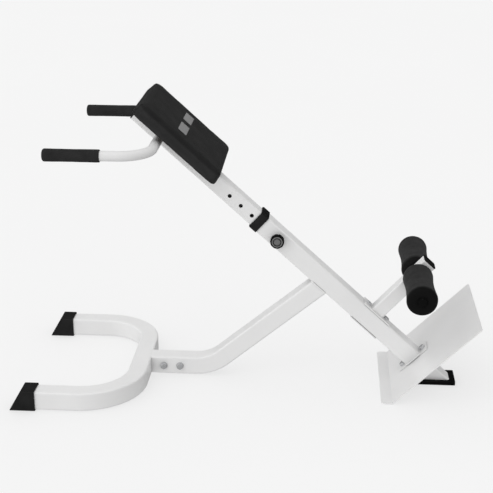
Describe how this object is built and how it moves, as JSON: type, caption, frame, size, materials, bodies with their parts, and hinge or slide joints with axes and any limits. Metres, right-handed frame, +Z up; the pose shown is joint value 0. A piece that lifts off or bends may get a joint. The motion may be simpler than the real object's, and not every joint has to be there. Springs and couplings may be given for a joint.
{
  "type": "roman chair",
  "caption": "Back-extension bench: sloping telescoping beam with hip pad and handles, ankle rollers, angled foot plate, U-shaped floor base and rear foot.",
  "frame": {"origin": "on the floor, under the middle of the object's bounding box", "axes": "+X from the handles and front feet towards the foot plate, +Y across the bench to its right side, +Z up"},
  "size_m": [1.223, 0.534, 0.7935],
  "materials": {
    "white_paint": "satin",
    "zinc_steel": "satin",
    "black_plastic": "satin",
    "black_rubber": "matte",
    "grip_foam": "matte",
    "roller_foam": "matte",
    "pad_cover": "satin",
    "plywood": "matte",
    "knob_metal": "satin"
  },
  "bodies": {
    "frame": {"base_tube": "white_paint", "base_stub": "white_paint", "front_cap_left": "black_rubber", "front_cap_right": "black_rubber", "support_tube": "white_paint", "base_bolts": "zinc_steel", "base_washers": "zinc_steel", "base_nuts": "zinc_steel", "main_beam": "white_paint", "beam_collar": "black_plastic", "post_flange": "white_paint", "post_back_plate": "white_paint", "roller_post": "white_paint", "post_cap": "black_plastic", "post_bolts": "zinc_steel", "post_washers": "zinc_steel", "post_nuts": "zinc_steel", "roller_axle": "zinc_steel", "axle_spacers": "black_plastic", "axle_end_plugs": "black_plastic", "beam_end_flange": "white_paint", "foot_plate": "white_paint", "rear_foot_flange": "white_paint", "rear_foot_tube": "white_paint", "rear_foot_base": "white_paint", "rear_shoe": "black_rubber", "plate_bolts": "zinc_steel", "plate_washers": "zinc_steel", "plate_nuts": "zinc_steel", "pin_weld_nut": "white_paint", "pin_barrel": "zinc_steel", "pin_spring": "zinc_steel"},
    "pin": {"pin_plunger": "zinc_steel", "pin_knob": "black_plastic", "pin_knob_disc": "knob_metal"},
    "carriage": {"inner_tube": "white_paint", "inner_tube_plug": "black_plastic", "pad_bracket_lower": "white_paint", "pad_bracket_upper": "white_paint", "pad_board": "plywood", "hip_pad": "pad_cover", "pad_screws": "zinc_steel", "pad_tee_nuts": "zinc_steel", "handlebar_left": "white_paint", "handlebar_right": "white_paint", "handle_plugs": "black_plastic", "grip_left": "grip_foam", "grip_right": "grip_foam"},
    "roller_left": {"roller_sleeve_left": "black_plastic", "roller_foam_left": "roller_foam"},
    "roller_right": {"roller_sleeve_right": "black_plastic", "roller_foam_right": "roller_foam"}
  },
  "joints": [
    {"name": "carriage_slide", "type": "slide", "parent": "frame", "child": "carriage", "axis": [-0.7393, 0, 0.6734], "range_m": [-0.1323, 0.0788]},
    {"name": "pull_pin", "type": "slide", "parent": "frame", "child": "pin", "axis": [0, 1, 0], "range_m": [0, 0.007], "stiffness_N_per_m": 800, "springref_m": 0.012, "deforming": ["pin_spring"]},
    {"name": "left_roller_spin", "type": "hinge", "parent": "frame", "child": "roller_left", "pos_m": [0.45012, -0.1122, 0.31044], "axis": [0, 1, 0], "continuous": true},
    {"name": "right_roller_spin", "type": "hinge", "parent": "frame", "child": "roller_right", "pos_m": [0.45012, 0.1122, 0.31044], "axis": [0, 1, 0], "continuous": true}
  ]
}
